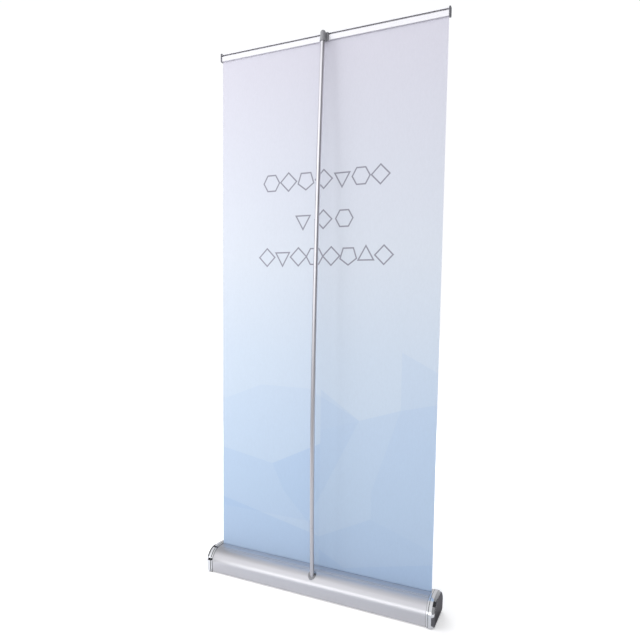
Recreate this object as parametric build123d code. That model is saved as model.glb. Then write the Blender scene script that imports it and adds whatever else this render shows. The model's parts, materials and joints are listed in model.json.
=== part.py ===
"""Roll-up banner stand: a footless base with a spring roller, a three-piece pole and a snap rail.

Frame: +Z up, z = 0 on the floor, X along the base, the printed face looks towards -Y and the
pole stands on the +Y side. The origin is the middle of the base. Millimetres.
"""
from build123d import *
from math import cos, radians, sin, tan
import os

# ---- driving dimensions ------------------------------------------------------------------
SHEET_WIDTH = 850.0
SHEET_THICKNESS = 0.6
SHEET_Y = -10.0               # plane of the hanging sheet
RAIL_BOTTOM = 1965.0          # lower edge of the top rail

# base section, half of it (y, z, corner radius); the other half is its mirror image
BASE_FLOOR = 3.0              # the extrusion stands this high, on its rubber feet
SECTION = ((65.5, BASE_FLOOR, 4.0), (69.0, 52.0, 26.0), (44.0, 85.0, 45.0), (0.0, 89.5, 200.0))
WALL = 1.8
HOUSING_HALF = SHEET_WIDTH / 2 + 8.0
SLOT_WIDTH = 6.0
SLOT_LIP = (4.0, 1.6)         # each lip's width and extra thickness
GROOVES_Y = (22.0, 29.5)
GROOVE_RADIUS = 1.9
GROOVE_DEPTH = 0.9
PORTS = ((-61.0, 7.6), (61.0, 7.6), (-43.5, 76.6), (18.0, 82.9))
PORT_RADIUS = 3.2
SCREW_RADIUS = 1.5
POLE_HOLE_RADIUS = 10.8

# end caps and the brackets behind them
BRACKET_THICKNESS = 4.0
CAP_STRIP = 4.5               # flat strip next to the extrusion
CAP_GROOVE_PLACE = 6.5        # bottom of the groove beside the strip
CAP_STEP = 7.0                # a raised band starts here
CAP_BAND = 17.0               # end of the band
CAP_DOME = 10.6               # height of the bevelled end outside the band
CAP_PROUD = 1.8               # how far the strip stands out of the extrusion
CAP_GROOVE = 0.9              # depth of the groove
CAP_RAISED = 1.2              # how far the band stands out of the strip
CAP_TAPER = 36.0              # slope of the bevel
CAP_NOSE_RADIUS = 6.0
CAP_WALL = 3.0
PEG_YS = (-34.0, 34.0)
PEG_Z = 46.0
PEG_RADIUS = 2.0

# roller
ROLLER_Z = 42.0
ROLLER_RADIUS = 16.0
ROLLER_WALL = 1.5
WRAP_THICKNESS = 0.9
ROLLER_HALF = SHEET_WIDTH / 2 + 1.0
JOURNAL_RADIUS = 4.0
SHAFT_SQUARE_HALF = 2.7
RUNNING = 0.06                # radial clearance of the bearings
CLEAR = 0.4                   # gap between pieces that pass each other
ROLLER_Y = SHEET_Y + SHEET_THICKNESS / 2 + CLEAR + ROLLER_RADIUS + WRAP_THICKNESS
SPRING_START = 190.0
SPRING_END = 392.0

# pole: straight in its socket, then bowed by the pull of the sheet
POLE_RADIUS = 8.0
POLE_BORE = 7.0
POLE_FOOT_Y = 47.0
POLE_FOOT_Z = 78.0            # height at which POLE_FOOT_Y is measured
POLE_BOTTOM = 12.0
POLE_STRAIGHT_TOP = 92.0
TUBE_LENGTH = 658.0
LEANS = (-2.2, 0.2, 2.2, 3.3) # forward lean in degrees at the foot, both joints and the top
FERRULE_RADIUS = 6.91
FERRULE_BORE = 5.4
FERRULE_FIXED = 30.0
FERRULE_FREE = 42.0
CORD_RADIUS = 2.0
CORD_OVERLAP = 115.0          # how far a cord reaches down into the tube below
HOOD_RADIUS = 10.0

# snap rail section, measured from the sheet's plane and the rail's lower edge
RAIL_HEIGHT = 26.0
RAIL_DEPTH = 7.0              # half of the rail's thickness
RAIL_REAR = SHEET_Y + RAIL_DEPTH
RAIL_FRONT = SHEET_Y - RAIL_DEPTH
BAND_HEIGHT = 18.5
RAIL_WALL = 1.6
HINGE_Y = -4.2
HINGE_Z = 20.5
BEAD_RADIUS = 1.5
JAW_CLEAR = 0.4
RAIL_CAP = 5.0


# ---- helpers -----------------------------------------------------------------------------
def save(node, shape):
    """Write one node as a STEP file."""
    export_step(shape, f"parts/{node}.step")
    print(f"{node}: {len(shape.solids())} solid(s), {shape.volume / 1000:.2f} cm3")


def block(x0, x1, y0, y1, z0, z1):
    """A box given by its limits."""
    centre = Pos((x0 + x1) / 2, (y0 + y1) / 2, (z0 + z1) / 2)
    return centre * Box(abs(x1 - x0), abs(y1 - y0), abs(z1 - z0))


def rod_x(radius, x0, x1, y, z):
    """A round bar along X."""
    return Pos((x0 + x1) / 2, y, z) * Rot(0, 90, 0) * Cylinder(radius, abs(x1 - x0))


def section_face():
    """Outer outline of the base, in the YZ plane."""
    rear = [(y, z) for y, z, radius in SECTION]
    front = [(-y, z) for y, z in reversed(rear[:-1])]
    face = Plane.YZ * make_face(Polyline(*rear, *front, close=True))
    for y, z, radius in SECTION:
        corners = [v for v in face.vertices() if abs(abs(v.Y) - y) < 0.5 and abs(v.Z - z) < 0.5]
        face = fillet(corners, radius)
    return face


def section_bar(x0, x1, grow):
    """The base outline, grown by an offset, as a bar along X."""
    face = section_face()
    if grow:
        face = offset(face, grow)
    return Pos(x0, 0, 0) * extrude(face, x1 - x0, dir=(1, 0, 0))


def mirrored(shape):
    """The same shape at the other end of the stand."""
    return mirror(shape, about=Plane.YZ)


# ---- base --------------------------------------------------------------------------------
def base_housing():
    """Hollow aluminium extrusion with a slot for the sheet, screw ports and a pole hole."""
    half = HOUSING_HALF
    body = section_bar(-half, half, 0) - section_bar(-half, half, -WALL)
    lip_width, lip_extra = SLOT_LIP
    lips = block(-half, half, SHEET_Y - SLOT_WIDTH / 2 - lip_width, SHEET_Y + SLOT_WIDTH / 2 + lip_width,
                 80, 90)
    body += lips & (section_bar(-half, half, 0) - section_bar(-half, half, -WALL - lip_extra))
    body -= block(-half, half, SHEET_Y - SLOT_WIDTH / 2, SHEET_Y + SLOT_WIDTH / 2, 75, 95)
    inside = section_bar(-half, half, -WALL / 2)
    for y, z in PORTS:
        body += rod_x(PORT_RADIUS, -half, half, y, z) & inside
    for y, z in PORTS:
        body -= rod_x(SCREW_RADIUS + 0.1, -half, half, y, z)
    for y in GROOVES_Y:
        body -= rod_x(GROOVE_RADIUS, -half, half, y, surface_z(y) + GROOVE_RADIUS - GROOVE_DEPTH)
    return body - pole_bar(POLE_HOLE_RADIUS, 40, 140)


def surface_z(y):
    """Height of the base's outer surface at a place on its top."""
    probe = block(-1, 1, y - 0.05, y + 0.05, 60, 100) & section_bar(-1, 1, 0)
    return probe.bounding_box().max.Z


def end_bracket(is_spring_side):
    """Plate that closes the +X end and carries the roller."""
    x0 = HOUSING_HALF
    x1 = x0 + BRACKET_THICKNESS
    plate = section_bar(x0, x1, -0.4)
    plate += rod_x(8.0, x0 - 3.5, x0, ROLLER_Y, ROLLER_Z)
    if is_spring_side:
        hole = 2 * SHAFT_SQUARE_HALF + 0.1
        plate -= Pos(x0, ROLLER_Y, ROLLER_Z) * Box(30, hole, hole)
    else:
        plate -= rod_x(JOURNAL_RADIUS + RUNNING, x0 - 10, x0 + 10, ROLLER_Y, ROLLER_Z)
    for y, z in PORTS:
        plate -= rod_x(SCREW_RADIUS + 0.2, x0 - 1, x1 + 1, y, z)
    for y in PEG_YS:
        plate -= rod_x(PEG_RADIUS + 0.05, x0 - 1, x1 + 1, y, PEG_Z)
    return plate


def bracket_screws():
    """Pan-head screws that hold both brackets in the ports."""
    x = HOUSING_HALF + BRACKET_THICKNESS
    screws = []
    for y, z in PORTS:
        shank = rod_x(SCREW_RADIUS, x - 16, x, y, z)
        head = rod_x(2.8, x, x + 1.9, y, z)
        head = fillet(head.edges().sort_by(Axis.X)[-1], 0.8)
        cross = Pos(x + 1.9, y, z) * (Box(1.6, 0.7, 3.2) + Box(1.6, 3.2, 0.7))
        screw = shank + head - cross
        screws += [screw, mirrored(screw)]
    return Compound(screws)


def cap_outline(x, inset):
    """The cap's outline at one place along the base, drawn in towards its middle by an inset."""
    share = 1 - inset / (SECTION[1][0] + CAP_PROUD)
    return Pos(x, 0, PEG_Z * (1 - share)) * scale(offset(section_face(), CAP_PROUD), share)


def arc_steps(x, inset, radius, first, last, count):
    """(x, inset) along an arc that turns from one angle to another, from a start point."""
    angles = [radians(first + (last - first) * step / count) for step in range(count + 1)]
    start = angles[0]
    return [(x + radius * (sin(a) - sin(start)), inset + radius * (cos(start) - cos(a))) for a in angles]


def end_cap_outside():
    """Solid shape of the +X cap: a strip, a groove, a raised band, a bevel and a rounded flat end."""
    inner = SHEET_WIDTH / 2
    slope = radians(CAP_TAPER)
    bevel_length = CAP_DOME - CAP_NOSE_RADIUS * (1 - sin(slope))
    profile = [(0, 0), (CAP_STRIP, 0), (CAP_GROOVE_PLACE, CAP_GROOVE), (CAP_STEP, -CAP_RAISED),
               (CAP_BAND, -CAP_RAISED),
               (CAP_BAND + bevel_length, bevel_length * tan(slope) - CAP_RAISED)]
    steps = [(inner + x, inset) for x, inset in profile]
    nose = arc_steps(*steps[-1], CAP_NOSE_RADIUS, CAP_TAPER, 90, 4)
    cap = loft([cap_outline(*place) for place in nose])
    for start, end in zip(steps, steps[1:]):
        cap += loft([cap_outline(*start), cap_outline(*end)], ruled=True)
    return cap


def end_cap():
    """Hollow cap over the +X end, with a rim that laps over the extrusion and two pegs."""
    inner = SHEET_WIDTH / 2
    outer = inner + CAP_BAND + CAP_DOME
    bracket_end = HOUSING_HALF + BRACKET_THICKNESS
    cap = end_cap_outside() - section_bar(inner, bracket_end + 2.6, 0.1)
    cap -= section_bar(bracket_end + 2.5, outer - CAP_WALL - 1.0, -17.0)
    for y in PEG_YS:
        peg = rod_x(PEG_RADIUS, HOUSING_HALF + 0.5, bracket_end + 2.6, y, PEG_Z)
        cap += peg + rod_x(3.6, bracket_end + 0.1, outer - CAP_WALL - 0.5, y, PEG_Z)
    return cap


def rubber_feet():
    """Four round pads under the extrusion."""
    pad = chamfer(Cylinder(9.0, BASE_FLOOR).edges().sort_by(Axis.Z)[0], 0.6)
    return Compound([Pos(x, y, BASE_FLOOR / 2) * pad for x in (-372, 372) for y in (-48, 48)])


# ---- pole socket -------------------------------------------------------------------------
def lean_plane(y, z, lean):
    """Plane across the pole's axis at a point, where it leans forward by an angle."""
    angle = radians(lean)
    return Plane(origin=(0, y, z), x_dir=(1, 0, 0), z_dir=(0, -sin(angle), cos(angle)))


def pole_bar(radius, z0, z1):
    """A round bar along the straight foot of the pole, between two heights."""
    foot = lean_plane(POLE_FOOT_Y, POLE_FOOT_Z, LEANS[0])
    start = (z0 - POLE_FOOT_Z) / cos(radians(LEANS[0]))
    length = (z1 - z0) / cos(radians(LEANS[0]))
    return extrude(foot.offset(start) * Circle(radius), length)


def pole_socket():
    """Moulded block inside the base that takes the pole's foot."""
    body = block(-18, 18, POLE_FOOT_Y - 12.5, POLE_FOOT_Y + 9.0, BASE_FLOOR + WALL + 0.1, 90)
    body &= section_bar(-18, 18, -WALL - 0.3)
    body += block(-30, 30, POLE_FOOT_Y - 12.5, POLE_FOOT_Y + 9.0, BASE_FLOOR + WALL + 0.1, 8.5)
    body -= pole_bar(POLE_RADIUS + RUNNING, POLE_BOTTOM - 0.3, 120)
    for x in (-24, 24):
        body -= Pos(x, POLE_FOOT_Y - 2, 5) * Cylinder(SCREW_RADIUS + 0.2, 20)
    return body - pole_bar(POLE_HOLE_RADIUS + 0.2, 68, 120)


def socket_screws():
    """Two screws that hold the socket to the base's floor."""
    top = 8.5
    shank_bottom = BASE_FLOOR + 0.3
    head = Pos(0, 0, top + 0.9) * Cylinder(2.8, 1.8)
    shank = Pos(0, 0, (top + shank_bottom) / 2) * Cylinder(SCREW_RADIUS, top - shank_bottom)
    return Compound([Pos(x, POLE_FOOT_Y - 2, 0) * (head + shank) for x in (-24, 24)])


def screw_holes_in_floor():
    """The two holes for the socket's screws."""
    hole = Cylinder(SCREW_RADIUS + 0.05, 10)
    return [Pos(x, POLE_FOOT_Y - 2, BASE_FLOOR) * hole for x in (-24, 24)]


def socket_grommet():
    """Collar round the pole where it enters the base: a neck through the wall and a flange."""
    neck = pole_bar(POLE_HOLE_RADIUS - 0.2, 69, 110) & section_bar(-40, 40, 0.05)
    skin = section_bar(-40, 40, 1.7) - section_bar(-40, 40, 0)
    flange = pole_bar(13.6, 50, 110) & skin
    return neck + flange - pole_bar(POLE_RADIUS + CLEAR, 50, 130)


# ---- roller ------------------------------------------------------------------------------
def roller_tube():
    """Aluminium tube that winds up the sheet."""
    tube = rod_x(ROLLER_RADIUS, -ROLLER_HALF, ROLLER_HALF, ROLLER_Y, ROLLER_Z)
    return tube - rod_x(ROLLER_RADIUS - ROLLER_WALL, -ROLLER_HALF, ROLLER_HALF, ROLLER_Y, ROLLER_Z)


def wound_sheet():
    """The turns of the sheet that stay on the roller."""
    outer = ROLLER_RADIUS + WRAP_THICKNESS
    ring = rod_x(outer, -SHEET_WIDTH / 2, SHEET_WIDTH / 2, ROLLER_Y, ROLLER_Z)
    return ring - rod_x(ROLLER_RADIUS, -SHEET_WIDTH / 2, SHEET_WIDTH / 2, ROLLER_Y, ROLLER_Z)


def roller_plug():
    """Plug pressed into the roller's +X end, without its bearing."""
    inside = ROLLER_RADIUS - ROLLER_WALL - 0.02
    plug = rod_x(inside, ROLLER_HALF - 25, ROLLER_HALF, ROLLER_Y, ROLLER_Z)
    return plug + rod_x(ROLLER_RADIUS, ROLLER_HALF, ROLLER_HALF + 2, ROLLER_Y, ROLLER_Z)


def idle_plug():
    """Left plug, with the journal that turns in the left bracket."""
    plug = roller_plug()
    plug += rod_x(JOURNAL_RADIUS, ROLLER_HALF, HOUSING_HALF + 3, ROLLER_Y, ROLLER_Z)
    return mirrored(plug)


def spring_plug():
    """Right plug, which turns round the fixed shaft."""
    return roller_plug() - rod_x(JOURNAL_RADIUS + RUNNING, 380, 450, ROLLER_Y, ROLLER_Z)


def spring_shaft():
    """Fixed steel shaft: round in the roller, square in the right bracket."""
    shaft = rod_x(JOURNAL_RADIUS, SPRING_START - 8, HOUSING_HALF - 3.5, ROLLER_Y, ROLLER_Z)
    size = 2 * SHAFT_SQUARE_HALF
    square = block(HOUSING_HALF - 3.5, HOUSING_HALF + BRACKET_THICKNESS, ROLLER_Y - size / 2,
                   ROLLER_Y + size / 2, ROLLER_Z - size / 2, ROLLER_Z + size / 2)
    collar = rod_x(10.0, SPRING_START - 8, SPRING_START, ROLLER_Y, ROLLER_Z)
    return shaft + square + collar


def torsion_spring():
    """Envelope of the coil spring that winds the sheet in."""
    coil = rod_x(9.0, SPRING_START, SPRING_END, ROLLER_Y, ROLLER_Z)
    return coil - rod_x(6.0, SPRING_START, SPRING_END, ROLLER_Y, ROLLER_Z)


# ---- pole --------------------------------------------------------------------------------
def pole_stations():
    """(y, z) of the axis at the top of the straight foot, both joints and the top."""
    rise = POLE_STRAIGHT_TOP - POLE_FOOT_Z
    y = POLE_FOOT_Y - rise * tan(radians(LEANS[0]))
    points = [(y, POLE_STRAIGHT_TOP)]
    first_arc = TUBE_LENGTH - (POLE_STRAIGHT_TOP - POLE_BOTTOM)
    for index, length in enumerate((first_arc, TUBE_LENGTH, TUBE_LENGTH)):
        a0, a1 = radians(LEANS[index]), radians(LEANS[index + 1])
        bend = length / (a1 - a0)
        y, z = points[-1]
        points.append((y - bend * (cos(a0) - cos(a1)), z + bend * (sin(a1) - sin(a0))))
    return points


STATIONS = pole_stations()


def arc_length(index):
    """Length of one of the pole's three bowed stretches."""
    return TUBE_LENGTH - (POLE_STRAIGHT_TOP - POLE_BOTTOM) if index == 0 else TUBE_LENGTH


def bowed(index, radius, start, end):
    """A round bar along bowed stretch 0, 1 or 2, between two distances from its lower end."""
    a0, a1 = LEANS[index], LEANS[index + 1]
    turn = a1 - a0
    bend = arc_length(index) / radians(turn)
    y, z = STATIONS[index]
    centre_y = y - bend * cos(radians(a0))
    centre_z = z - bend * sin(radians(a0))
    lean = a0 + turn * start / arc_length(index)
    py = centre_y + bend * cos(radians(lean))
    pz = centre_z + bend * sin(radians(lean))
    profile = lean_plane(py, pz, lean) * Circle(radius)
    pivot = Axis((0, centre_y, centre_z), (1, 0, 0))
    return revolve(profile, pivot, turn * (end - start) / arc_length(index))


def bowed_tube(index, outer, bore, start, end):
    """A tube along one bowed stretch."""
    return bowed(index, outer, start, end) - bowed(index, bore, start, end)


def straight_at(index, radius, start, end):
    """A straight bar through station 1 or 2, along the pole's direction there."""
    y, z = STATIONS[index]
    plane = lean_plane(y, z, LEANS[index])
    return extrude(plane.offset(start) * Circle(radius), end - start)


def pole_tube_lower():
    """Lower tube: straight in the socket, then bowed."""
    foot = pole_bar(POLE_RADIUS, POLE_BOTTOM, POLE_STRAIGHT_TOP)
    foot -= pole_bar(POLE_BORE, POLE_BOTTOM, POLE_STRAIGHT_TOP)
    return foot + bowed_tube(0, POLE_RADIUS, POLE_BORE, 0, arc_length(0))


def pole_foot_plug():
    """Plug in the lower tube's end that anchors the cord."""
    plug = pole_bar(POLE_BORE - 0.02, POLE_BOTTOM, POLE_BOTTOM + 14)
    return plug - pole_bar(CORD_RADIUS, POLE_BOTTOM + 6, POLE_BOTTOM + 14)


def ferrule(index):
    """Spigot fixed in the lower end of the middle (1) or upper (2) tube."""
    spigot = straight_at(index, FERRULE_RADIUS, -FERRULE_FREE, FERRULE_FIXED)
    spigot = chamfer(spigot.edges().sort_by(Axis.Z)[0], 1.0)
    return spigot - straight_at(index, FERRULE_BORE, -FERRULE_FREE, FERRULE_FIXED)


def bungee_lower():
    """Cord in the lower tube."""
    cord = pole_bar(CORD_RADIUS, POLE_BOTTOM + 6, POLE_STRAIGHT_TOP)
    return cord + bowed(0, CORD_RADIUS, 0, arc_length(0) - CORD_OVERLAP - 3)


def bungee_middle():
    """Cord in the middle tube, which reaches down into the lower one."""
    cord = bowed(0, CORD_RADIUS, arc_length(0) - CORD_OVERLAP, arc_length(0))
    return cord + bowed(1, CORD_RADIUS, 0, TUBE_LENGTH - CORD_OVERLAP - 3)


def bungee_upper():
    """Cord in the upper tube, which reaches down into the middle one."""
    cord = bowed(1, CORD_RADIUS, TUBE_LENGTH - CORD_OVERLAP, TUBE_LENGTH)
    return cord + bowed(2, CORD_RADIUS, 0, TUBE_LENGTH - 12)


def cord_anchor():
    """Washer and knot that hold the cord at the top of the pole."""
    washer = bowed(2, POLE_BORE - 0.02, TUBE_LENGTH - 12, TUBE_LENGTH - 9)
    knot = bowed(2, 4.0, TUBE_LENGTH - 9, TUBE_LENGTH - 3)
    return washer + knot


def pole_hook():
    """Moulded cap on the pole's top with a ribbed plate and a tongue that carries the rail."""
    y, z = STATIONS[3]
    frame = lean_plane(y, z, LEANS[3])
    length = 28.0
    sides = Polyline((0, 8.8), (0, -length), (HOOD_RADIUS + 0.7, -length), (HOOD_RADIUS, -length + 6),
                     (HOOD_RADIUS - 0.8, 1.0))
    dome = ThreePointArc((HOOD_RADIUS - 0.8, 1.0), (6.6, 6.6), (0, 8.8))
    hood = frame.location * revolve(Plane.XZ * make_face(sides + dome), Axis.Z, 360)
    rear = RAIL_REAR + 1.2
    plate = block(-15, 15, rear, rear + 3.0, RAIL_BOTTOM - 4, RAIL_BOTTOM + 25.5)
    plate = fillet(plate.edges().filter_by(Axis.Y), 2.0)
    for x in (-14.2, 12.6):
        plate += block(x, x + 1.6, rear + 2.5, rear + 5.0, RAIL_BOTTOM - 2, RAIL_BOTTOM + 24)
    web = block(-7.5, 7.5, rear + 2.5, y + 2, RAIL_BOTTOM - 3, RAIL_BOTTOM + 22)
    tongue = block(-12, 12, rear - 5.4, rear + 1, RAIL_BOTTOM + 19.3, RAIL_BOTTOM + 22.0)
    tip = block(-12, 12, rear - 5.4, rear - 3.6, RAIL_BOTTOM + 21.5, RAIL_BOTTOM + 23.8)
    hook = hood + plate + web + tongue + tip
    return hook - bowed(2, POLE_RADIUS + 0.02, TUBE_LENGTH - 40, TUBE_LENGTH)


# ---- top rail and sheet ------------------------------------------------------------------
def rail_block(y0, y1, z0, z1, half):
    """A bar of the rail, given in the rail's own section."""
    return block(-half, half, SHEET_Y + y0, SHEET_Y + y1, RAIL_BOTTOM + z0, RAIL_BOTTOM + z1)


def banner_sheet():
    """The printed sheet, from the roller up into the rail."""
    return block(-SHEET_WIDTH / 2, SHEET_WIDTH / 2, SHEET_Y - SHEET_THICKNESS / 2,
                 SHEET_Y + SHEET_THICKNESS / 2, ROLLER_Z, RAIL_BOTTOM + 15)


def rail_back():
    """Rear extrusion: hollow band below, open channel for the hook above, hinge bead in front."""
    half = SHEET_WIDTH / 2
    front_face = SHEET_THICKNESS / 2 + 0.05
    band = rail_block(front_face, RAIL_DEPTH, 0, BAND_HEIGHT, half)
    band = fillet(band.edges().filter_by(Axis.X).sort_by(Axis.Y)[-2:], 1.0)
    band -= rail_block(front_face + RAIL_WALL, RAIL_DEPTH - RAIL_WALL, RAIL_WALL, BAND_HEIGHT - RAIL_WALL,
                       half)
    wall = rail_block(front_face, front_face + RAIL_WALL, BAND_HEIGHT - 1, RAIL_HEIGHT - 1, half)
    flange = rail_block(-RAIL_DEPTH + 0.6, RAIL_DEPTH, RAIL_HEIGHT - RAIL_WALL, RAIL_HEIGHT, half)
    lip = rail_block(RAIL_DEPTH - 1.2, RAIL_DEPTH, RAIL_HEIGHT - RAIL_WALL - 1.0, RAIL_HEIGHT - 1, half)
    neck = rail_block(HINGE_Y - 0.6, HINGE_Y + 0.6, HINGE_Z, RAIL_HEIGHT - 1, half)
    bead = rod_x(BEAD_RADIUS, -half, half, SHEET_Y + HINGE_Y, RAIL_BOTTOM + HINGE_Z)
    return band + wall + flange + lip + neck + bead


def rail_jaw():
    """Front jaw: a socket round the bead, a face plate and a return that holds the grip."""
    half = SHEET_WIDTH / 2 - JAW_CLEAR
    outer = BEAD_RADIUS + 1.4
    ring = Circle(outer) - Circle(BEAD_RADIUS + RUNNING)
    mouth = make_face(Polyline((0, 0), (6 * cos(radians(55)), 6 * sin(radians(55))), (0, 9),
                               (-9, 3), (6 * cos(radians(185)), 6 * sin(radians(185))), close=True))
    socket = extrude(Plane.YZ * (ring - mouth), 2 * half, dir=(1, 0, 0))
    socket = Pos(-half, SHEET_Y + HINGE_Y, RAIL_BOTTOM + HINGE_Z) * socket
    plate = rail_block(HINGE_Y - outer, HINGE_Y - outer + 1.3, 0, HINGE_Z - 0.5, half)
    foot = rail_block(HINGE_Y - outer, -2.6, 0, 1.3, half)
    lip = rail_block(-3.9, -2.6, 0, 3.0, half)
    jaw = socket + plate + foot + lip
    corner = [e for e in jaw.edges().filter_by(Axis.X)
              if e.center().Y < SHEET_Y - RAIL_DEPTH + 0.2 and e.center().Z < RAIL_BOTTOM + 0.2]
    return fillet(corner, 1.0)


def grip_strip():
    """Soft strip on the jaw that presses the sheet against the rail."""
    return rail_block(-2.6, -SHEET_THICKNESS / 2 - 0.35, 0.4, 3.4, SHEET_WIDTH / 2 - 1.0)


def rail_end_cap():
    """Cap on the rail's +X end, with a peg in the hollow band."""
    x0 = SHEET_WIDTH / 2
    plate = block(x0, x0 + RAIL_CAP, RAIL_FRONT - 1.2, RAIL_REAR + 1.2, RAIL_BOTTOM - 1.0,
                  RAIL_BOTTOM + RAIL_HEIGHT + 4.0)
    plate = fillet(plate.edges().filter_by(Axis.X), 3.0)
    plate = fillet(plate.faces().sort_by(Axis.X)[-1].edges(), 1.2)
    front_face = SHEET_THICKNESS / 2 + 0.05
    peg = block(x0 - 12, x0, SHEET_Y + front_face + RAIL_WALL + 0.05, SHEET_Y + RAIL_DEPTH - RAIL_WALL - 0.05,
                RAIL_BOTTOM + 3, RAIL_BOTTOM + 15)
    return plate + peg


# ---- write every node --------------------------------------------------------------------
def housing_with_holes():
    """The extrusion with the holes for the socket's screws."""
    housing = base_housing()
    for hole in screw_holes_in_floor():
        housing -= hole
    return housing


def main():
    os.makedirs("parts", exist_ok=True)
    save("base_housing", housing_with_holes())
    save("end_bracket_right", end_bracket(True))
    save("end_bracket_left", mirrored(end_bracket(False)))
    save("bracket_screws", bracket_screws())
    cap = end_cap()
    save("end_cap_right", cap)
    save("end_cap_left", mirrored(cap))
    save("rubber_feet", rubber_feet())
    save("pole_socket", pole_socket())
    save("socket_screws", socket_screws())
    save("socket_grommet", socket_grommet())
    save("roller_tube", roller_tube())
    save("wound_sheet", wound_sheet())
    save("roller_plug_left", idle_plug())
    save("roller_plug_right", spring_plug())
    save("spring_shaft", spring_shaft())
    save("torsion_spring", torsion_spring())
    save("pole_tube_lower", pole_tube_lower())
    save("pole_foot_plug", pole_foot_plug())
    save("bungee_lower", bungee_lower())
    save("pole_tube_middle", bowed_tube(1, POLE_RADIUS, POLE_BORE, 0, TUBE_LENGTH))
    save("ferrule_middle", ferrule(1))
    save("bungee_middle", bungee_middle())
    save("pole_tube_upper", bowed_tube(2, POLE_RADIUS, POLE_BORE, 0, TUBE_LENGTH))
    save("ferrule_upper", ferrule(2))
    save("bungee_upper", bungee_upper())
    save("cord_anchor", cord_anchor())
    save("pole_hook", pole_hook())
    save("banner_sheet", banner_sheet())
    save("rail_back", rail_back())
    rail_cap = rail_end_cap()
    save("rail_end_cap_right", rail_cap)
    save("rail_end_cap_left", mirrored(rail_cap))
    save("rail_jaw", rail_jaw())
    save("grip_strip", grip_strip())
    for (y, z), lean in zip(STATIONS, LEANS):
        print(f"pole station y {y:.2f} z {z:.2f} lean {lean}")


main()
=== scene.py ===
"""Looks of the roll-up banner stand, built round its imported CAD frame. Metres, +Z up.

The sheet hangs in a plane of constant Y, its printed face looks towards -Y, and the pole stands on
the +Y side. The camera sees the stand from behind.
"""

import json
from math import cos, pi, radians, sin, tau

import bpy
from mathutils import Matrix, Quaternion, Vector


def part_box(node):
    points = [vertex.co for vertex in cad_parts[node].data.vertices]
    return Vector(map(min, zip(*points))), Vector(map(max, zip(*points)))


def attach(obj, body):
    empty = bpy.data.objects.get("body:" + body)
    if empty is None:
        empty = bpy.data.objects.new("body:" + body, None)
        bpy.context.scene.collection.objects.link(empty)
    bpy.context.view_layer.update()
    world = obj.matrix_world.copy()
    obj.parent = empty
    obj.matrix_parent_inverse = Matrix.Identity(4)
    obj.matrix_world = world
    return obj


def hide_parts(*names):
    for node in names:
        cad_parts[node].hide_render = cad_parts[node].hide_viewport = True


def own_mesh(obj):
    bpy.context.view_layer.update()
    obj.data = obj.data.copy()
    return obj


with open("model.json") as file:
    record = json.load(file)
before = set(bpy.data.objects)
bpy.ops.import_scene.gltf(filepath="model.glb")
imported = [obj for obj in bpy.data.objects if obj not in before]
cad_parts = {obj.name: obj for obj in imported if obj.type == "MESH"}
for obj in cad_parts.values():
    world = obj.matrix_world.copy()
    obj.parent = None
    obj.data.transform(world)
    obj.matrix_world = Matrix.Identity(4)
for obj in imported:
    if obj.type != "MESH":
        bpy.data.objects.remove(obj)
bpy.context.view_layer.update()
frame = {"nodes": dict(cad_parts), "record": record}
NODES = frame["nodes"]

# ---- places taken from the frame ---------------------------------------------------------
sheet_low, sheet_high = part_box("banner_sheet")
rail_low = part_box("rail_back")[0]
SHEET_Y = (sheet_low.y + sheet_high.y) / 2
SHEET_WIDTH = sheet_high.x - sheet_low.x
SHEET_TOP = sheet_high.z
ROLLER_HEIGHT = sheet_low.z
RAIL_BOTTOM = rail_low.z

# ---- camera ------------------------------------------------------------------------------
CAMERA_PLACE = (-0.807, 1.773, 1.070)
CAMERA_YAW = 24.52            # turned from -Y towards +X, in degrees
CAMERA_PITCH = 4.51           # looking down
CAMERA_ROLL = 0.745
CAMERA_LENS = 30.58           # millimetres, on the usual 36 mm sensor
CAMERA_SHIFT = 0.0408

# ---- light -------------------------------------------------------------------------------
WALL_AZIMUTH = 68.0           # middle of the bright wall, in degrees from +X towards +Y
WALL_EDGE = 0.66              # cosine of half its width
WALL_BLUR = 0.12              # how softly its sides end, in that cosine
WALL_GLOW = 1.85
WALL_FOOT = (-0.01, 0.03)     # sine of the elevation over which the wall starts
WALL_FADE = (0.40, 0.64)      # and over which it turns into the ceiling
CEILING_FRONT = 0.66          # above the printed side
CEILING_BACK = 0.86           # above the camera
CEILING_DEPTH = (-0.6, 0.7)   # y of a direction, from the front's light to the back's
CEILING_RIGHT = 0.38          # share of it left at the right of the picture
CEILING_WIDTH = (-0.6, 0.3)   # x of a direction, from that share to all of it
BACKDROP_GLOW = 1.03          # what the camera sees round the stand
BACKDROP_TINT = (0.98, 0.985, 1.0)
FLOOR_HALF = 14.0
FLOOR_COLOUR = (0.90, 0.90, 0.91)
FLOOR_FADE = (0.3, 2.5)       # distance from the stand over which the floor grows brighter
FLOOR_GLOW = (0.42, 0.5)      # its own glow near and far, for the camera
FLOOR_BOUNCE = (0.0, 0.4)     # and for everything else

# soft lights: name, place, width and height, and power in watts
LIGHT_AIM = (0.0, 0.0, 1.0)
LIGHTS = (
    ("key", (1.6, 0.9, 1.3), (1.2, 1.6), 17),
    ("front_fill", (1.0, -2.4, 1.4), (1.6, 1.8), 38),
)
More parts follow.
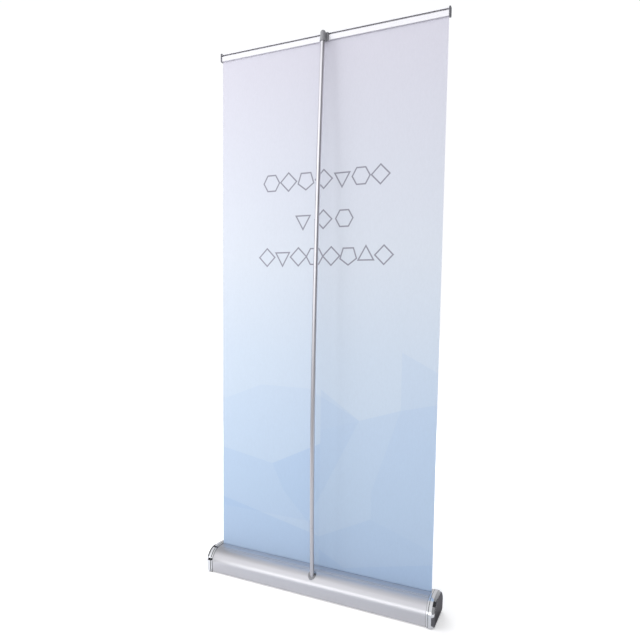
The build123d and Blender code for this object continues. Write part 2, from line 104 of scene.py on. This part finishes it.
# cards that only the metal reflects: name, one corner, the two edges from it, and colour
CARDS = (
    ("card_right", (-2.2, -2.5, 0.3), (0, 3.3, 0), (0, 0, 2.2), (0.02, 0.02, 0.022)),
    ("card_left", (2.0, -1.7, 0.0), (0, 2.2, 0), (0, 0, 2.4), (0.03, 0.03, 0.035)),
    ("card_floor_right", (-2.4, -1.6, 0.004), (1.945, 0, 0), (0, 1.7, 0), (0.17, 0.165, 0.175)),
    ("card_near_left_cap", (0.60, 0.40, 0.0), (0.13, -0.11, 0), (0, 0, 0.22), (0.01, 0.01, 0.01)),
    ("floor_behind_camera", (-5.0, 1.3, 0.004), (10.0, 0, 0), (0, 5.0, 0), (0.50, 0.48, 0.47)),
)

# ---- surfaces ----------------------------------------------------------------------------
CREVICE_REACH = 0.004         # how far the painted shade in a groove reaches
SHARP_ANGLE = 40.0            # corners sharper than this stay sharp

# ---- sheet -------------------------------------------------------------------------------
FILM_THICKNESS = 0.0004
FILM_WIDTH = SHEET_WIDTH - 0.0012      # runs clear of the end caps
FILM_COLUMNS, FILM_ROWS = 68, 150
FILM_CURL = 0.0006            # how far its side edges stand off its plane
FILM_WAVE = 0.00035           # height of its tension waves
PRINT_GREY = (0.27, 0.27, 0.32)

# ---- spring ------------------------------------------------------------------------------
SPRING_WIRE = 0.0011          # radius of its wire
SPRING_TURNS = 74


# ---- node helpers ------------------------------------------------------------------------
def node(tree, kind, inputs=(), **settings):
    """Adds a shader node. Inputs are values or sockets by name or number."""
    made = tree.nodes.new(kind)
    for key, value in settings.items():
        setattr(made, key, value)
    for key, value in dict(inputs).items():
        if isinstance(value, bpy.types.NodeSocket):
            tree.links.new(value, made.inputs[key])
        else:
            made.inputs[key].default_value = value
    return made


def calc(tree, operation, a, b=0.0):
    """Adds a math node and returns its output."""
    return node(tree, "ShaderNodeMath", {0: a, 1: b}, operation=operation).outputs[0]


def mix_colour(tree, factor, a, b, blend="MIX"):
    """Mixes two colours and returns the output."""
    made = node(tree, "ShaderNodeMix", {0: factor, 6: a, 7: b}, data_type="RGBA", blend_type=blend)
    return made.outputs[2]


def grey(tree, value):
    """A grey as bright as a value."""
    return node(tree, "ShaderNodeCombineColor", {0: value, 1: value, 2: value}).outputs[0]


def span(tree, value, low, high, to_low=0.0, to_high=1.0, smooth=False):
    """Maps a range of a value to another range, clamped."""
    made = node(tree, "ShaderNodeMapRange", {0: value, 1: low, 2: high, 3: to_low, 4: to_high})
    if smooth:
        made.interpolation_type = "SMOOTHSTEP"
    return made.outputs[0]


def material(name, colour, metallic, roughness, **sockets):
    """A material with one Principled shader. Returns it with its tree and shader."""
    made = bpy.data.materials.new(name)
    made.use_nodes = True
    tree = made.node_tree
    shader = tree.nodes["Principled BSDF"]
    shader.inputs["Base Color"].default_value = (*colour, 1)
    shader.inputs["Metallic"].default_value = metallic
    shader.inputs["Roughness"].default_value = roughness
    for key, value in sockets.items():
        shader.inputs[key.replace("_", " ")].default_value = value
    return made, tree, shader


def place(tree, scale=(1, 1, 1)):
    """Object coordinates, scaled."""
    coordinates = tree.nodes.get("Texture Coordinate") or node(tree, "ShaderNodeTexCoord")
    return node(tree, "ShaderNodeMapping", {0: coordinates.outputs["Object"], 3: scale}).outputs[0]


def noise(tree, scale, detail=2.0, stretch=(1, 1, 1)):
    """A noise texture's value."""
    inputs = {"Vector": place(tree, stretch), "Scale": scale, "Detail": detail}
    return node(tree, "ShaderNodeTexNoise", inputs).outputs[0]


def vary(tree, shader, colour, value, amount):
    """Makes the base colour a little darker and lighter with a value."""
    dark = tuple(c * (1 - amount) for c in colour) + (1,)
    light = tuple(min(1, c * (1 + amount)) for c in colour) + (1,)
    tree.links.new(mix_colour(tree, value, dark, light), shader.inputs["Base Color"])


def roughen(tree, shader, value, low, high):
    """Makes the roughness follow a value."""
    tree.links.new(span(tree, value, 0.3, 0.7, low, high), shader.inputs["Roughness"])


def paint_crevice_shade(tree, shader, dark, unshaded_share):
    """Paints shade into the base colour in grooves and joints, where ambient occlusion finds them: the last
    argument is the open share at which no shade is left.
    """
    # painted shade: ambient occlusion darkens the colour in grooves and joints
    occlusion = node(tree, "ShaderNodeAmbientOcclusion", {"Distance": CREVICE_REACH}, samples=8)
    shade = span(tree, occlusion.outputs["AO"], unshaded_share - 0.45, unshaded_share, dark, 1.0)
    colour = shader.inputs["Base Color"].links[0].from_socket
    tree.links.new(mix_colour(tree, 1.0, colour, grey(tree, shade), "MULTIPLY"), shader.inputs["Base Color"])


def bump(tree, shader, height, distance, strength=1.0):
    """Gives the shader a bump from a height value."""
    made = node(tree, "ShaderNodeBump", {"Height": height, "Distance": distance, "Strength": strength})
    tree.links.new(made.outputs[0], shader.inputs["Normal"])


# ---- materials ---------------------------------------------------------------------------
def drawn_metal(name, colour, roughness, along, groove_shade=0.2):
    """Extruded or drawn metal: fine lines along one axis, soft uneven patches, and painted shade in its
    grooves.
    """
    made, tree, shader = material(name, colour, 1.0, roughness)
    stretch = [1.0, 1.0, 1.0]
    stretch["XYZ".index(along)] = 0.004
    lines = noise(tree, 900.0, 3.0, stretch)
    patches = noise(tree, 6.0, 2.0)
    vary(tree, shader, colour, lines, 0.05)
    mixed = calc(tree, "ADD", calc(tree, "MULTIPLY", lines, 0.6), calc(tree, "MULTIPLY", patches, 0.4))
    roughen(tree, shader, mixed, roughness - 0.04, roughness + 0.05)
    # painted shade: the grooves are darkened in the colour, groove_shade at their deepest
    paint_crevice_shade(tree, shader, groove_shade, 0.98)
    bump(tree, shader, lines, 0.00001, 0.5)
    return made


def chrome():
    """Bright plating with faint smears, and painted shade in its joints."""
    colour = (0.84, 0.85, 0.88)
    made, tree, shader = material("chrome", colour, 1.0, 0.05)
    smears = noise(tree, 18.0, 4.0, (1, 1, 0.4))
    vary(tree, shader, colour, smears, 0.02)
    # painted shade: joints and grooves of the plating are darkened nearly to black
    paint_crevice_shade(tree, shader, 0.04, 0.95)
    roughen(tree, shader, smears, 0.035, 0.09)
    return made


def moulded_plastic(name, colour, roughness):
    """Moulded plastic with a fine spark-eroded grain."""
    made, tree, shader = material(name, colour, 0.0, roughness)
    grain = noise(tree, 1400.0, 2.0)
    patches = noise(tree, 30.0, 3.0)
    vary(tree, shader, colour, patches, 0.10)
    roughen(tree, shader, patches, roughness - 0.05, roughness + 0.06)
    bump(tree, shader, grain, 0.00004, 0.6)
    return made


def rubber():
    """Dull rubber with a little dust."""
    colour = (0.022, 0.022, 0.024)
    made, tree, shader = material("rubber", colour, 0.0, 0.8)
    dust = noise(tree, 90.0, 4.0)
    vary(tree, shader, colour, dust, 0.5)
    bump(tree, shader, dust, 0.0001, 0.5)
    return made


def plated_steel(name, colour, roughness):
    """Zinc plated steel, mottled."""
    made, tree, shader = material(name, colour, 1.0, roughness)
    mottle = noise(tree, 160.0, 3.0)
    vary(tree, shader, colour, mottle, 0.14)
    roughen(tree, shader, mottle, roughness - 0.06, roughness + 0.08)
    bump(tree, shader, mottle, 0.00003, 0.4)
    return made


def braided_cord():
    """Elastic cord in a braided cover: two sets of slanting strands."""
    colour = (0.05, 0.05, 0.055)
    made, tree, shader = material("elastic_cord", colour, 0.0, 0.7)
    strands = []
    for slant in (1, -1):
        inputs = {"Vector": place(tree, (600, 600 * slant, 420)), "Scale": 1.0}
        strands.append(node(tree, "ShaderNodeTexWave", inputs, bands_direction="DIAGONAL").outputs[0])
    weave = calc(tree, "MAXIMUM", *strands)
    vary(tree, shader, colour, weave, 0.6)
    bump(tree, shader, weave, 0.0002)
    return made


# ---- print of the sheet ------------------------------------------------------------------
def print_gradient(tree, height):
    """Lavender white at the top that turns to sky blue towards the base."""
    stops = ((0.00, (0.46, 0.55, 0.67)), (0.16, (0.49, 0.585, 0.70)), (0.28, (0.51, 0.60, 0.715)),
             (0.43, (0.54, 0.615, 0.715)), (0.62, (0.60, 0.64, 0.71)), (1.00, (0.62, 0.61, 0.685)))
    ramp = node(tree, "ShaderNodeValToRGB", {0: span(tree, height, ROLLER_HEIGHT, RAIL_BOTTOM)})
    points = ramp.color_ramp.elements
    while len(points) < len(stops):
        points.new(0.5)
    for point, (position, colour) in zip(points, stops):
        point.position = position
        point.color = (*colour, 1)
    return ramp.outputs[0]


# pale facets of the print, drawn on a 5 cm grid: tint strength and corners (x, z) in metres, in order
# round each convex facet. They run past the film's edges, which cut them off.
FACETS = (
    (0.05, ((0.50, 0.65), (0.25, 0.75), (0.05, 0.75), (-0.15, 0.65), (0.05, 0.25), (0.50, 0.25))),
    (0.08, ((0.50, 0.50), (0.20, 0.45), (0.20, -0.10), (0.50, -0.10))),
    (0.08, ((0.20, 0.45), (0.00, 0.55), (0.00, -0.10), (0.20, -0.10))),
    (0.05, ((0.20, 0.45), (0.00, 0.55), (0.00, 0.20), (0.15, 0.35))),
    (0.10, ((0.50, 0.30), (0.00, 0.20), (0.00, -0.10), (0.50, -0.10))),
    (0.07, ((0.00, 0.75), (-0.15, 0.65), (0.00, 0.60))),
    (0.09, ((0.00, 0.60), (-0.30, 0.70), (-0.50, 0.75), (-0.50, -0.10), (0.00, -0.10))),
    (0.06, ((-0.30, 0.90), (-0.30, 0.70), (-0.50, 0.75), (-0.50, 0.80))),
    (0.04, ((-0.30, 0.70), (-0.20, 0.40), (-0.20, 0.30), (-0.50, 0.20), (-0.50, 0.75))),
    (0.07, ((-0.20, 0.30), (-0.50, 0.20), (-0.50, -0.10), (0.00, -0.10), (0.00, 0.20))),
    (0.07, ((0.00, 0.15), (-0.10, 0.10), (-0.10, -0.10), (0.00, -0.10))),
    (0.07, ((-0.10, 0.10), (-0.50, 0.20), (-0.50, -0.10), (-0.10, -0.10))),
)
FACET_EDGE = 0.002
FACET_TINT = (1.0, 0.62, 0.12)         # share of the strength that red, green and blue lose


def facet_mask(tree, across, height, corners):
    """One inside a convex facet and nothing outside it."""
    turn = sum(a[0] * b[1] - b[0] * a[1] for a, b in zip(corners, corners[1:] + corners[:1]))
    inside = None
    for (x0, z0), (x1, z1) in zip(corners, corners[1:] + corners[:1]):
        out = Vector((z1 - z0, x0 - x1)).normalized() * (1 if turn > 0 else -1)
        reach = calc(tree, "ADD", calc(tree, "MULTIPLY", across, -out.x),
                     calc(tree, "MULTIPLY", height, -out.y))
        reach = calc(tree, "ADD", reach, out.x * x0 + out.y * z0)
        inside = reach if inside is None else calc(tree, "MINIMUM", inside, reach)
    return span(tree, inside, -FACET_EDGE / 2, FACET_EDGE / 2)


# three rows of outlined shapes: height of the row, spacing, and the number of sides of each shape
SHAPE_ROWS = (
    (1.50, 0.070, (4, 6, 3, 4, 5, 4, 6)),
    (1.36, 0.080, (6, 4, 3)),
    (1.23, 0.065, (4, 3, 5, 4, 6, 4, 3, 4)),
)
SHAPE_RADIUS = 0.0325          # centre to a corner
SHAPE_STROKE = 0.0050
SHAPE_BLUR = 0.0004            # softness of the stroke's edges


def outline_group():
    """Node group: the outline of a regular polygon round a point, as a mask. Inside is its inner radius."""
    group = bpy.data.node_groups.new("polygon_outline", "ShaderNodeTree")
    for name in ("X", "Z", "Sides", "Turn", "Inside"):
        group.interface.new_socket(name, in_out="INPUT", socket_type="NodeSocketFloat")
    group.interface.new_socket("Mask", in_out="OUTPUT", socket_type="NodeSocketFloat")
    given = node(group, "NodeGroupInput").outputs
    sector = calc(group, "DIVIDE", tau, given["Sides"])
    angle = calc(group, "ADD", calc(group, "ARCTAN2", given["X"], given["Z"]), given["Turn"])
    nearest = calc(group, "MULTIPLY", calc(group, "ROUND", calc(group, "DIVIDE", angle, sector)), sector)
    squares = calc(group, "ADD", calc(group, "POWER", given["X"], 2.0),
                   calc(group, "POWER", given["Z"], 2.0))
    reach = calc(group, "MULTIPLY", calc(group, "SQRT", squares),
                 calc(group, "COSINE", calc(group, "SUBTRACT", angle, nearest)))
    off = calc(group, "ABSOLUTE", calc(group, "SUBTRACT", reach, given["Inside"]))
    mask = span(group, off, SHAPE_STROKE / 2 - SHAPE_BLUR, SHAPE_STROKE / 2 + SHAPE_BLUR, 1.0, 0.0)
    node(group, "NodeGroupOutput", {"Mask": mask})
    return group


def shape_mask(tree, across, height):
    """All the outlined shapes together, as one mask."""
    group = outline_group()
    total = None
    for row_height, spacing, sides in SHAPE_ROWS:
        z = calc(tree, "SUBTRACT", height, row_height)
        for index, count in enumerate(sides):
            x = calc(tree, "SUBTRACT", across, (index - (len(sides) - 1) / 2) * spacing)
            made = node(tree, "ShaderNodeGroup", node_tree=group)
            tree.links.new(x, made.inputs["X"])
            tree.links.new(z, made.inputs["Z"])
            made.inputs["Sides"].default_value = count
            made.inputs["Turn"].default_value = pi / count if count == 4 else pi * (index % 2)
            made.inputs["Inside"].default_value = SHAPE_RADIUS * cos(pi / count)
            total = made.outputs[0] if total is None else calc(tree, "MAXIMUM", total, made.outputs[0])
    return total


def printed_film(name, ink, gloss):
    """Coated film with the print: ink is how strongly the outlined shapes show on this face."""
    made, tree, shader = material(name, (0.8, 0.8, 0.85), 0.0, 0.55)
    shader.inputs["Specular IOR Level"].default_value = gloss
    parts = node(tree, "ShaderNodeSeparateXYZ", {0: place(tree)})
    across, height = parts.outputs[0], parts.outputs[2]
    colour = print_gradient(tree, height)
    for strength, corners in FACETS:
        tint = tuple(1 - share * strength for share in FACET_TINT) + (1,)
        mask = facet_mask(tree, across, height, corners)
        colour = mix_colour(tree, mask, colour, mix_colour(tree, 1.0, colour, tint, "MULTIPLY"))
    lines = calc(tree, "MULTIPLY", shape_mask(tree, across, height), ink)
    colour = mix_colour(tree, lines, colour, (*PRINT_GREY, 1))
    fibres = noise(tree, 260.0, 3.0, (1, 1, 0.35))
    mottle = span(tree, fibres, 0.3, 0.7, 0.985, 1.015)
    colour = mix_colour(tree, 1.0, colour, grey(tree, mottle), "MULTIPLY")
    tree.links.new(colour, shader.inputs["Base Color"])
    threads = {"Vector": place(tree), "Scale": 620.0, "Distortion": 0.6}
    weave = node(tree, "ShaderNodeTexWave", threads, bands_direction="Z").outputs[0]
    bump(tree, shader, calc(tree, "ADD", weave, fibres), 0.00003, 0.35)
    roughen(tree, shader, fibres, 0.50, 0.62)
    return made


# ---- pieces ------------------------------------------------------------------------------
def mesh_piece(name, points, faces):
    """A new mesh object, shaded smooth between its sharp corners."""
    data = bpy.data.meshes.new(name)
    data.from_pydata([tuple(p) for p in points], [], faces)
    data.update()
    for polygon in data.polygons:
        polygon.use_smooth = True
    data.set_sharp_from_angle(angle=radians(SHARP_ANGLE))
    piece = bpy.data.objects.new(name, data)
    bpy.context.scene.collection.objects.link(piece)
    return piece


def film_offset(x, z):
    """How far the taut film stands off its plane: slack edges and faint tension waves."""
    share = (z - ROLLER_HEIGHT) / (SHEET_TOP - ROLLER_HEIGHT)
    held = min(1.0, sin(pi * share) * 2.2) if 0 < share < 1 else 0.0
    edge = abs(x) / (FILM_WIDTH / 2)
    curl = FILM_CURL * edge ** 6
    waves = FILM_WAVE * sin(9.0 * x + 1.3) * sin(2 * pi * share * 2.5 + 2.0 * x)
    return held * (curl + waves)


def banner_film():
    """The hanging sheet: a thin closed film with its print on both faces."""
    columns, rows = FILM_COLUMNS, FILM_ROWS
    points, faces, slots = [], [], []
    for side in (1, -1):
        for row in range(rows + 1):
            z = ROLLER_HEIGHT + (SHEET_TOP - ROLLER_HEIGHT) * row / rows
            for column in range(columns + 1):
                x = -FILM_WIDTH / 2 + FILM_WIDTH * column / columns
                points.append((x, SHEET_Y + film_offset(x, z) + side * FILM_THICKNESS / 2, z))
    per_side = (rows + 1) * (columns + 1)

    def corner(side, row, column):
        return side * per_side + row * (columns + 1) + column

    for row in range(rows):
        for column in range(columns):
            quad = [corner(0, row, column), corner(0, row + 1, column), corner(0, row + 1, column + 1),
                    corner(0, row, column + 1)]
            faces.append(quad)
            slots.append(0)
            faces.append([index + per_side for index in reversed(quad)])
            slots.append(1)
    rim = [(0, column) for column in range(columns)] + [(row, columns) for row in range(rows)]
    rim += [(rows, column) for column in range(columns, 0, -1)] + [(row, 0) for row in range(rows, 0, -1)]
    for (row, column), (next_row, next_column) in zip(rim, rim[1:] + rim[:1]):
        faces.append([corner(0, row, column), corner(0, next_row, next_column),
                      corner(1, next_row, next_column), corner(1, row, column)])
        slots.append(0)
    piece = mesh_piece("banner_film", points, faces)
    piece.data.materials.append(printed_film("film_back", 1.0, 0.25))
    piece.data.materials.append(printed_film("film_front", 1.0, 0.4))
    for polygon, slot in zip(piece.data.polygons, slots):
        polygon.material_index = slot
    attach(piece, "rail")
    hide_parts("banner_sheet")
    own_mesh(piece)


def spring_coil():
    """The torsion spring as a real coil of round wire."""
    low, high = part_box("torsion_spring")
    centre_y, centre_z = (low.y + high.y) / 2, (low.z + high.z) / 2
    wire = SPRING_WIRE
    radius = (high.z - low.z) / 2 - wire
    steps, sides = 26, 8
    count = SPRING_TURNS * steps
    points, faces = [], []
    for index in range(count + 1):
        share = index / count
        turn = tau * SPRING_TURNS * share
        x = low.x + wire + (high.x - low.x - 2 * wire) * share
        for side in range(sides):
            around = tau * side / sides
            reach = radius + wire * cos(around)
            points.append((x + wire * sin(around), centre_y + reach * cos(turn),
                           centre_z + reach * sin(turn)))
    for index in range(count):
        for side in range(sides):
            a, b = index * sides + side, index * sides + (side + 1) % sides
            faces.append([a, b, b + sides, a + sides])
    faces.append(list(range(sides)))
    faces.append([count * sides + side for side in reversed(range(sides))])
    piece = mesh_piece("spring_coil", points, faces)
    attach(piece, "base")
    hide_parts("torsion_spring")
    return piece


def dress():
    """Gives every CAD node its material, and makes the spring's coil with its own."""
    finishes = {
        "anodised_aluminium": drawn_metal("anodised_aluminium", (0.69, 0.685, 0.715), 0.42, "X"),
        "pole_aluminium": drawn_metal("pole_aluminium", (0.66, 0.65, 0.68), 0.30, "Z"),
        "roller_aluminium": drawn_metal("roller_aluminium", (0.64, 0.65, 0.67), 0.28, "X"),
        "chrome": chrome(),
        "black_plastic": moulded_plastic("black_plastic", (0.018, 0.018, 0.020), 0.5),
        "grey_plastic": moulded_plastic("grey_plastic", (0.13, 0.13, 0.145), 0.42),
        "rubber": rubber(),
        "steel": plated_steel("steel", (0.56, 0.56, 0.55), 0.35),
        "spring_steel": plated_steel("spring_steel", (0.30, 0.30, 0.31), 0.3),
        "sheet_film": printed_film("film_wound", 0.0, 0.25),
        "elastic_cord": braided_cord(),
    }
    own = {
        # a lighter copy of the anodised aluminium: painted brightness for the light the rail's back face
        # catches, with less painted shade in its grooves
        "rail_back": drawn_metal("rail_aluminium_painted_bright", (0.73, 0.725, 0.755), 0.42, "X", 0.85),
        "pole_hook": moulded_plastic("hook_plastic", (0.30, 0.30, 0.315), 0.42),
        "socket_grommet": plated_steel("dark_chrome", (0.36, 0.36, 0.38), 0.16),
    }
    for part in frame["record"]["subparts"]:
        data = NODES[part["node"]].data
        for index in range(len(data.materials)):
            data.materials[index] = own.get(part["node"]) or finishes[part["material_slot"]]
    spring_coil().data.materials.append(finishes["spring_steel"])


# ---- stage -------------------------------------------------------------------------------
def floor():
    """Pale floor that grows brighter away from the stand, so that it meets the white surround."""
    half = FLOOR_HALF
    piece = mesh_piece("floor", [(-half, -half, 0), (half, -half, 0), (half, half, 0), (-half, half, 0)],
                       [[0, 1, 2, 3]])
    made, tree, shader = material("floor", FLOOR_COLOUR, 0.0, 0.9)
    vary(tree, shader, FLOOR_COLOUR, noise(tree, 1.5, 2.0), 0.01)
    reach = node(tree, "ShaderNodeVectorMath", {0: place(tree)}, operation="LENGTH").outputs[1]
    seen = node(tree, "ShaderNodeLightPath").outputs["Is Camera Ray"]
    glow = span(tree, reach, *FLOOR_FADE, *FLOOR_GLOW, smooth=True)
    bounced = span(tree, reach, *FLOOR_FADE, *FLOOR_BOUNCE, smooth=True)
    strength = node(tree, "ShaderNodeMix", {0: seen, 2: bounced, 3: glow}, data_type="FLOAT").outputs[0]
    tree.links.new(strength, shader.inputs["Emission Strength"])
    shader.inputs["Emission Color"].default_value = (1, 1, 1, 1)
    piece.data.materials.append(made)


def surround():
    """Studio light: white to the eye. The metal reflects a bright wall behind the camera and to its left."""
    world = bpy.data.worlds.new("studio")
    bpy.context.scene.world = world
    world.use_nodes = True
    tree = world.node_tree
    back = tree.nodes["Background"]
    direction = node(tree, "ShaderNodeTexCoord").outputs["Generated"]
    x, y, z = node(tree, "ShaderNodeSeparateXYZ", {0: direction}).outputs
    level = calc(tree, "SQRT", calc(tree, "ADD", calc(tree, "MULTIPLY", x, x),
                                    calc(tree, "MULTIPLY", y, y)))
    facing = calc(tree, "ADD", calc(tree, "MULTIPLY", x, cos(radians(WALL_AZIMUTH))),
                  calc(tree, "MULTIPLY", y, sin(radians(WALL_AZIMUTH))))
    share = calc(tree, "DIVIDE", facing, level)
    across = span(tree, share, WALL_EDGE - WALL_BLUR, WALL_EDGE + WALL_BLUR, smooth=True)
    rise = span(tree, z, *WALL_FOOT, smooth=True)
    fall = span(tree, z, *WALL_FADE, 1.0, 0.0, smooth=True)
    wall = calc(tree, "MULTIPLY", across, calc(tree, "MULTIPLY", rise, fall))
    ceiling = calc(tree, "MULTIPLY", span(tree, y, *CEILING_DEPTH, CEILING_FRONT, CEILING_BACK),
                   span(tree, x, *CEILING_WIDTH, CEILING_RIGHT, 1.0, smooth=True))
    glow = node(tree, "ShaderNodeMix", {0: wall, 2: ceiling, 3: WALL_GLOW}, data_type="FLOAT").outputs[0]
    seen = node(tree, "ShaderNodeLightPath").outputs["Is Camera Ray"]
    strength = node(tree, "ShaderNodeMix", {0: seen, 2: glow, 3: BACKDROP_GLOW}, data_type="FLOAT").outputs[0]
    back.inputs[0].default_value = (*BACKDROP_TINT, 1)
    tree.links.new(strength, back.inputs[1])


def softbox(name, place_at, size, power):
    """A white rectangular soft light that isn't seen itself."""
    light = bpy.data.lights.new(name, "AREA")
    light.shape = "RECTANGLE"
    light.size, light.size_y = size
    light.energy = power
    lamp = bpy.data.objects.new(name, light)
    bpy.context.scene.collection.objects.link(lamp)
    lamp.location = place_at
    lamp.rotation_mode = "QUATERNION"
    lamp.rotation_quaternion = (Vector(LIGHT_AIM) - Vector(place_at)).to_track_quat("-Z", "Y")
    lamp.visible_glossy = False
    lamp.visible_camera = False


def card(name, corner, across, up, colour):
    """A card out of the picture, there only for the metal to reflect."""
    foot, across, up = Vector(corner), Vector(across), Vector(up)
    piece = mesh_piece(name, [foot, foot + across, foot + across + up, foot + up], [[0, 1, 2, 3]])
    piece.data.materials.append(material(name, colour, 0.0, 0.9)[0])
    piece.visible_camera = False
    piece.visible_diffuse = False
    piece.visible_shadow = False


def camera():
    """The camera, behind the stand and towards its -X end."""
    yaw, pitch = radians(CAMERA_YAW), radians(CAMERA_PITCH)
    look = Vector((sin(yaw) * cos(pitch), -cos(yaw) * cos(pitch), -sin(pitch)))
    data = bpy.data.cameras.new("camera")
    data.lens = CAMERA_LENS
    data.shift_y = CAMERA_SHIFT
    made = bpy.data.objects.new("camera", data)
    bpy.context.scene.collection.objects.link(made)
    made.location = CAMERA_PLACE
    made.rotation_mode = "QUATERNION"
    made.rotation_quaternion = look.to_track_quat("-Z", "Y") @ Quaternion((0, 0, 1), radians(CAMERA_ROLL))
    bpy.context.scene.camera = made


bpy.context.scene.view_settings.view_transform = "Standard"
camera()
floor()
surround()
for light in LIGHTS:
    softbox(*light)
for reflected in CARDS:
    card(*reflected)
banner_film()
dress()
